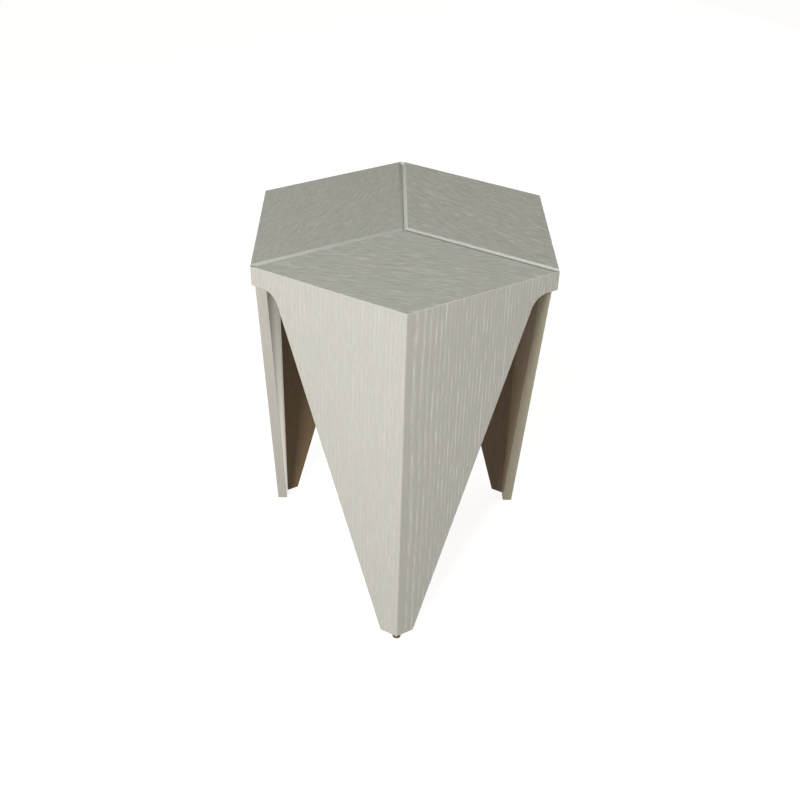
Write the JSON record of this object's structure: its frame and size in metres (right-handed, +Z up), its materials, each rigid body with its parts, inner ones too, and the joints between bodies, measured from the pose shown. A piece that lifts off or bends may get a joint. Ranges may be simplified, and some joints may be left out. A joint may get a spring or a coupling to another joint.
{
  "type": "side table",
  "caption": "Six-sided side table: three folded modules of rhombic tops and tapered side panels meet in V-grooves and stand on levelling glides.",
  "frame": {"origin": "floor level, under the middle of the six-sided top", "axes": "+Z up; the front leg's crease points to -Y, the other two legs stand at 120 degrees to it; +X is to the right seen from the front"},
  "size_m": [0.3984, 0.459, 0.56],
  "materials": {
    "cerused_ash": "satin, pale warm grey stain with limed open grain",
    "beech": "bare, planed",
    "plywood": "bare, sanded, with its plies at the edges",
    "zinc_steel": "zinc plated",
    "brass": "bare, turned",
    "antique_brass": "darkened, worn bright at the rim"
  },
  "bodies": {
    "frame": {"top_panel_front": "cerused_ash", "top_panel_right": "cerused_ash", "top_panel_left": "cerused_ash", "side_panel_front_left": "cerused_ash", "side_panel_front_right": "cerused_ash", "side_panel_right_left": "cerused_ash", "side_panel_right_right": "cerused_ash", "side_panel_left_left": "cerused_ash", "side_panel_left_right": "cerused_ash", "crease_spline_front": "beech", "crease_spline_right": "beech", "crease_spline_left": "beech", "top_spline_front_left": "beech", "top_spline_front_right": "beech", "top_spline_right_left": "beech", "top_spline_right_right": "beech", "top_spline_left_left": "beech", "top_spline_left_right": "beech", "glue_block_front_left": "beech", "glue_block_front_right": "beech", "glue_block_right_left": "beech", "glue_block_right_right": "beech", "glue_block_left_left": "beech", "glue_block_left_right": "beech", "crease_block_front": "beech", "crease_block_right": "beech", "crease_block_left": "beech", "joining_plate": "plywood", "plate_screw_front_1": "zinc_steel", "plate_screw_front_2": "zinc_steel", "plate_screw_front_3": "zinc_steel", "plate_screw_front_4": "zinc_steel", "plate_screw_right_1": "zinc_steel", "plate_screw_right_2": "zinc_steel", "plate_screw_right_3": "zinc_steel", "plate_screw_right_4": "zinc_steel", "plate_screw_left_1": "zinc_steel", "plate_screw_left_2": "zinc_steel", "plate_screw_left_3": "zinc_steel", "plate_screw_left_4": "zinc_steel", "threaded_insert_front": "brass", "threaded_insert_right": "brass", "threaded_insert_left": "brass"},
    "pad_front": {"leveller_pad_front": "antique_brass"},
    "stud_front": {"leveller_stud_front": "zinc_steel"},
    "pad_right": {"leveller_pad_right": "antique_brass"},
    "stud_right": {"leveller_stud_right": "zinc_steel"},
    "pad_left": {"leveller_pad_left": "antique_brass"},
    "stud_left": {"leveller_stud_left": "zinc_steel"}
  },
  "joints": [
    {"name": "leveller_front_travel", "type": "slide", "parent": "frame", "child": "pad_front", "axis": [0, 0, -1], "range_m": [0, 0.006]},
    {"name": "leveller_front_turn", "type": "hinge", "parent": "pad_front", "child": "stud_front", "pos_m": [0, -0.22134, 0], "axis": [0, 0, -1], "range_deg": [0, 2700]},
    {"name": "leveller_right_travel", "type": "slide", "parent": "frame", "child": "pad_right", "axis": [0, 0, -1], "range_m": [0, 0.006]},
    {"name": "leveller_right_turn", "type": "hinge", "parent": "pad_right", "child": "stud_right", "pos_m": [0.19169, 0.11067, 0], "axis": [0, 0, -1], "range_deg": [0, 2700]},
    {"name": "leveller_left_travel", "type": "slide", "parent": "frame", "child": "pad_left", "axis": [0, 0, -1], "range_m": [0, 0.006]},
    {"name": "leveller_left_turn", "type": "hinge", "parent": "pad_left", "child": "stud_left", "pos_m": [-0.19169, 0.11067, 0], "axis": [0, 0, -1], "range_deg": [0, 2700]}
  ],
  "couplings": [
    {"joint": "leveller_front_turn", "follows": "leveller_front_travel", "rad_per_m": 7854},
    {"joint": "leveller_right_turn", "follows": "leveller_right_travel", "rad_per_m": 7854},
    {"joint": "leveller_left_turn", "follows": "leveller_left_travel", "rad_per_m": 7854}
  ]
}
